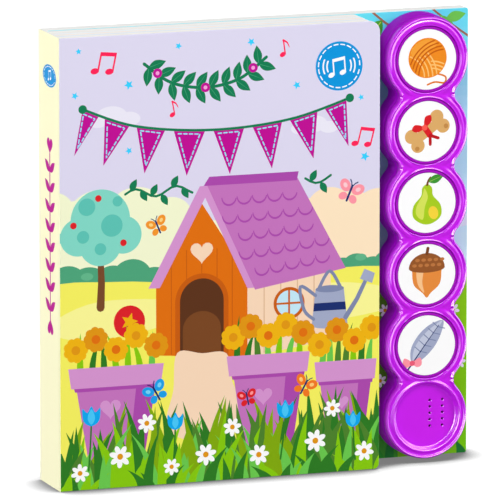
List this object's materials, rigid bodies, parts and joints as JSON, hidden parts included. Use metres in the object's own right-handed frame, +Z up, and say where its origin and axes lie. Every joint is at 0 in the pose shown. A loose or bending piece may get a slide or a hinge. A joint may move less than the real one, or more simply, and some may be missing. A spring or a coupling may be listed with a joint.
{
  "type": "sound book",
  "caption": "Upright children's board sound book: front cover on a fold hinge, thick page block, wider back panel with a scalloped purple sound module of push buttons over a speaker.",
  "frame": {"origin": "centre of the bottom of the bounding box, where the standing book rests", "axes": "+Z up along the book's height, -Y out of the front cover, +X from the spine to the sound module"},
  "size_m": [0.224, 0.0334, 0.228],
  "materials": {
    "printed_board": "gloss-laminated printed board, pale lilac",
    "spine_board": "gloss-laminated printed board, cream",
    "page_board": "white board with cut edges, printed faces",
    "panel_print": "gloss-laminated printed board, sky blue and green",
    "core_board": "plain white-grey core board",
    "purple_plastic": "glossy injection-moulded, magenta purple",
    "dark_purple_plastic": "glossy, deep purple",
    "label_print": "glossy printed disc",
    "silicone": "matte silicone",
    "circuit_green": "circuit board laminate",
    "black_epoxy": "black resin",
    "capacitor_sleeve": "dark sleeve",
    "steel": "plated steel",
    "magnet": "ferrite and steel",
    "cone_paper": "black paper cone",
    "cell_steel": "bright nickel-plated",
    "contact_metal": "nickel-plated spring strip",
    "wire_red": "red insulation",
    "wire_black": "black insulation"
  },
  "bodies": {
    "book": {"spine_board": "spine_board", "page_block": "page_board", "panel_board": "panel_print", "tray_board": "core_board", "back_cover": "printed_board", "module_casing": "purple_plastic", "module_back": "dark_purple_plastic", "battery_door": "purple_plastic", "battery_door_screw": "steel", "module_screw_1": "steel", "module_screw_2": "steel", "module_screw_3": "steel", "module_screw_4": "steel", "module_screw_5": "steel", "module_screw_6": "steel", "dome_1": "silicone", "dome_2": "silicone", "dome_3": "silicone", "dome_4": "silicone", "dome_5": "silicone", "circuit_board": "circuit_green", "sound_chip": "black_epoxy", "capacitor": "capacitor_sleeve", "speaker_frame": "steel", "speaker_cone": "cone_paper", "speaker_magnet": "magnet", "battery_1": "cell_steel", "battery_2": "cell_steel", "battery_3": "cell_steel", "battery_contact_negative": "contact_metal", "battery_contact_link_inner": "contact_metal", "battery_contact_link_door": "contact_metal", "battery_contact_positive": "contact_metal", "speaker_wire_red": "wire_red", "speaker_wire_black": "wire_black", "battery_wire_red": "wire_red", "battery_wire_black": "wire_black"},
    "front_cover": {"front_cover": "printed_board"},
    "button_1": {"button_1": "dark_purple_plastic", "label_1": "label_print"},
    "button_2": {"button_2": "dark_purple_plastic", "label_2": "label_print"},
    "button_3": {"button_3": "dark_purple_plastic", "label_3": "label_print"},
    "button_4": {"button_4": "dark_purple_plastic", "label_4": "label_print"},
    "button_5": {"button_5": "dark_purple_plastic", "label_5": "label_print"}
  },
  "joints": [
    {"name": "front_cover_hinge", "type": "hinge", "parent": "book", "child": "front_cover", "pos_m": [-0.11215, -0.01435, 0.114], "axis": [0, 0, -1], "range_deg": [0, 180]},
    {"name": "button_1_press", "type": "slide", "parent": "book", "child": "button_1", "axis": [0, 1, 0], "range_m": [0, 0.0015], "stiffness_N_per_m": 400},
    {"name": "button_2_press", "type": "slide", "parent": "book", "child": "button_2", "axis": [0, 1, 0], "range_m": [0, 0.0015], "stiffness_N_per_m": 400},
    {"name": "button_3_press", "type": "slide", "parent": "book", "child": "button_3", "axis": [0, 1, 0], "range_m": [0, 0.0015], "stiffness_N_per_m": 400},
    {"name": "button_4_press", "type": "slide", "parent": "book", "child": "button_4", "axis": [0, 1, 0], "range_m": [0, 0.0015], "stiffness_N_per_m": 400},
    {"name": "button_5_press", "type": "slide", "parent": "book", "child": "button_5", "axis": [0, 1, 0], "range_m": [0, 0.0015], "stiffness_N_per_m": 400}
  ]
}
